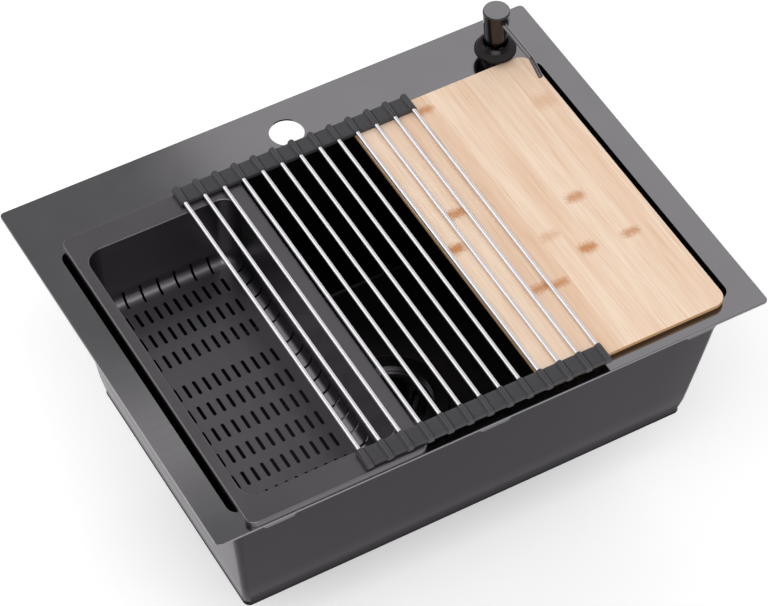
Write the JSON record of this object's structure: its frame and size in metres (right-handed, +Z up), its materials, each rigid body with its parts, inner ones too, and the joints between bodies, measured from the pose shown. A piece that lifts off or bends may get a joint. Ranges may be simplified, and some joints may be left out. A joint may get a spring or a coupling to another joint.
{
  "type": "workstation kitchen sink",
  "caption": "Drop-in kitchen sink with a deep leaning-wall bowl, sliding slotted colander and cutting board, roll-up drying rack, basket strainer and deck-mounted soap pump.",
  "frame": {"origin": "centre of the tap hole on the deck's top face", "axes": "+Z up out of the deck, +X to the right of someone at the sink (the deck's long side), +Y towards the wall"},
  "size_m": [0.58, 0.45, 0.3665],
  "materials": {
    "coated_steel": "gunmetal coating over fine-brushed stainless steel sheet",
    "pad_rubber": "matt sound-deadening rubber sheet",
    "seal_rubber": "matt rubber, moulded or closed-cell foam",
    "drain_steel": "satin stainless steel",
    "fitting_plastic": "moulded polypropylene",
    "dispenser_metal": "gunmetal coating over polished stainless steel",
    "bottle_plastic": "translucent blow-moulded polyethylene",
    "pump_plastic": "moulded polypropylene",
    "spring_steel": "drawn stainless spring wire",
    "bamboo": "laminated bamboo strips, sanded and oiled",
    "rack_steel": "bright satin stainless tube",
    "silicone": "moulded dark grey silicone"
  },
  "bodies": {
    "sink": {"deck_plate": "coated_steel", "side_seal_strips": "seal_rubber", "bowl_shell": "coated_steel", "floor_sound_pad": "pad_rubber", "front_clip_tabs": "coated_steel", "rear_clip_tabs": "coated_steel", "strainer_body": "drain_steel", "strainer_gasket": "seal_rubber", "strainer_under_washer": "fitting_plastic", "strainer_lock_nut": "fitting_plastic", "tailpiece": "fitting_plastic", "tailpiece_washer": "seal_rubber", "tailpiece_nut": "fitting_plastic", "dispenser_gasket": "seal_rubber", "dispenser_collar": "dispenser_metal", "dispenser_washer": "fitting_plastic", "dispenser_nut": "fitting_plastic", "dispenser_bottle": "bottle_plastic", "pump_barrel": "pump_plastic", "pump_cap": "pump_plastic", "pump_spring": "spring_steel", "dip_tube": "pump_plastic"},
    "basket": {"strainer_basket": "drain_steel", "basket_seal": "seal_rubber", "basket_knob": "drain_steel"},
    "colander_tray": {"colander": "coated_steel"},
    "board": {"cutting_board": "bamboo"},
    "rack_01": {"rack_rod_01": "rack_steel", "rack_sleeves_01": "silicone"},
    "rack_02": {"rack_rod_02": "rack_steel", "rack_sleeves_02": "silicone"},
    "rack_03": {"rack_rod_03": "rack_steel", "rack_sleeves_03": "silicone"},
    "rack_04": {"rack_rod_04": "rack_steel", "rack_sleeves_04": "silicone"},
    "rack_05": {"rack_rod_05": "rack_steel", "rack_sleeves_05": "silicone"},
    "rack_06": {"rack_rod_06": "rack_steel", "rack_sleeves_06": "silicone"},
    "rack_07": {"rack_rod_07": "rack_steel", "rack_sleeves_07": "silicone"},
    "rack_08": {"rack_rod_08": "rack_steel", "rack_sleeves_08": "silicone"},
    "rack_09": {"rack_rod_09": "rack_steel", "rack_sleeves_09": "silicone"},
    "rack_10": {"rack_rod_10": "rack_steel", "rack_sleeves_10": "silicone"},
    "rack_11": {"rack_rod_11": "rack_steel", "rack_sleeves_11": "silicone"},
    "rack_12": {"rack_rod_12": "rack_steel", "rack_sleeves_12": "silicone"},
    "rack_13": {"rack_rod_13": "rack_steel", "rack_sleeves_13": "silicone"},
    "stem": {"pump_stem": "pump_plastic"},
    "head": {"pump_head": "dispenser_metal", "pump_spout": "dispenser_metal"}
  },
  "joints": [
    {"name": "basket_lift", "type": "slide", "parent": "sink", "child": "basket", "axis": [0, 0, 1], "range_m": [0, 0.06]},
    {"name": "colander_slide", "type": "slide", "parent": "sink", "child": "colander_tray", "axis": [1, 0, 0], "range_m": [-0.004, 0.08]},
    {"name": "board_slide", "type": "slide", "parent": "sink", "child": "board", "axis": [1, 0, 0], "range_m": [-0.034, 0.03]},
    {"name": "rack_lift", "type": "slide", "parent": "sink", "child": "rack_01", "axis": [0, 0, 1], "range_m": [0, 0.08]},
    {"name": "rack_roll_01", "type": "hinge", "parent": "rack_01", "child": "rack_02", "pos_m": [-0.12226, -0.21395, 0.0117], "axis": [-0.0015, -1, 0], "range_deg": [0, 25]},
    {"name": "rack_roll_02", "type": "hinge", "parent": "rack_02", "child": "rack_03", "pos_m": [-0.10147, -0.21395, 0.0117], "axis": [-0.0016, -1, 0], "range_deg": [0, 25]},
    {"name": "rack_roll_03", "type": "hinge", "parent": "rack_03", "child": "rack_04", "pos_m": [-0.08068, -0.21395, 0.0117], "axis": [-0.0016, -1, 0], "range_deg": [0, 25]},
    {"name": "rack_roll_04", "type": "hinge", "parent": "rack_04", "child": "rack_05", "pos_m": [-0.05989, -0.21395, 0.0117], "axis": [-0.0017, -1, 0], "range_deg": [0, 25]},
    {"name": "rack_roll_05", "type": "hinge", "parent": "rack_05", "child": "rack_06", "pos_m": [-0.03911, -0.21395, 0.0117], "axis": [-0.0018, -1, 0], "range_deg": [0, 25]},
    {"name": "rack_roll_06", "type": "hinge", "parent": "rack_06", "child": "rack_07", "pos_m": [-0.01832, -0.21395, 0.0117], "axis": [-0.0019, -1, 0], "range_deg": [0, 25]},
    {"name": "rack_roll_07", "type": "hinge", "parent": "rack_07", "child": "rack_08", "pos_m": [0.00247, -0.21395, 0.0117], "axis": [-0.0019, -1, 0], "range_deg": [0, 25]},
    {"name": "rack_roll_08", "type": "hinge", "parent": "rack_08", "child": "rack_09", "pos_m": [0.02326, -0.21395, 0.0117], "axis": [-0.002, -1, 0], "range_deg": [0, 25]},
    {"name": "rack_roll_09", "type": "hinge", "parent": "rack_09", "child": "rack_10", "pos_m": [0.04404, -0.21395, 0.0117], "axis": [-0.0021, -1, 0], "range_deg": [0, 25]},
    {"name": "rack_roll_10", "type": "hinge", "parent": "rack_10", "child": "rack_11", "pos_m": [0.06483, -0.21395, 0.0117], "axis": [-0.0022, -1, 0], "range_deg": [0, 25]},
    {"name": "rack_roll_11", "type": "hinge", "parent": "rack_11", "child": "rack_12", "pos_m": [0.08562, -0.21395, 0.0117], "axis": [-0.0022, -1, 0], "range_deg": [0, 25]},
    {"name": "rack_roll_12", "type": "hinge", "parent": "rack_12", "child": "rack_13", "pos_m": [0.10641, -0.21395, 0.0117], "axis": [-0.0023, -1, 0], "range_deg": [0, 25]},
    {"name": "pump_press", "type": "slide", "parent": "sink", "child": "stem", "axis": [0, 0, -1], "range_m": [0, 0.012], "stiffness_N_per_m": 500, "springref_m": -0.006, "deforming": ["pump_spring"]},
    {"name": "pump_swivel", "type": "hinge", "parent": "stem", "child": "head", "pos_m": [0.228, -0.012, 0.04], "axis": [0, 0, 1], "continuous": true}
  ],
  "couplings": [
    {"joint": "rack_roll_02", "follows": "rack_roll_01", "ratio": 1},
    {"joint": "rack_roll_03", "follows": "rack_roll_01", "ratio": 1},
    {"joint": "rack_roll_04", "follows": "rack_roll_01", "ratio": 1},
    {"joint": "rack_roll_05", "follows": "rack_roll_01", "ratio": 1},
    {"joint": "rack_roll_06", "follows": "rack_roll_01", "ratio": 1},
    {"joint": "rack_roll_07", "follows": "rack_roll_01", "ratio": 1},
    {"joint": "rack_roll_08", "follows": "rack_roll_01", "ratio": 1},
    {"joint": "rack_roll_09", "follows": "rack_roll_01", "ratio": 1},
    {"joint": "rack_roll_10", "follows": "rack_roll_01", "ratio": 1},
    {"joint": "rack_roll_11", "follows": "rack_roll_01", "ratio": 1},
    {"joint": "rack_roll_12", "follows": "rack_roll_01", "ratio": 1}
  ]
}
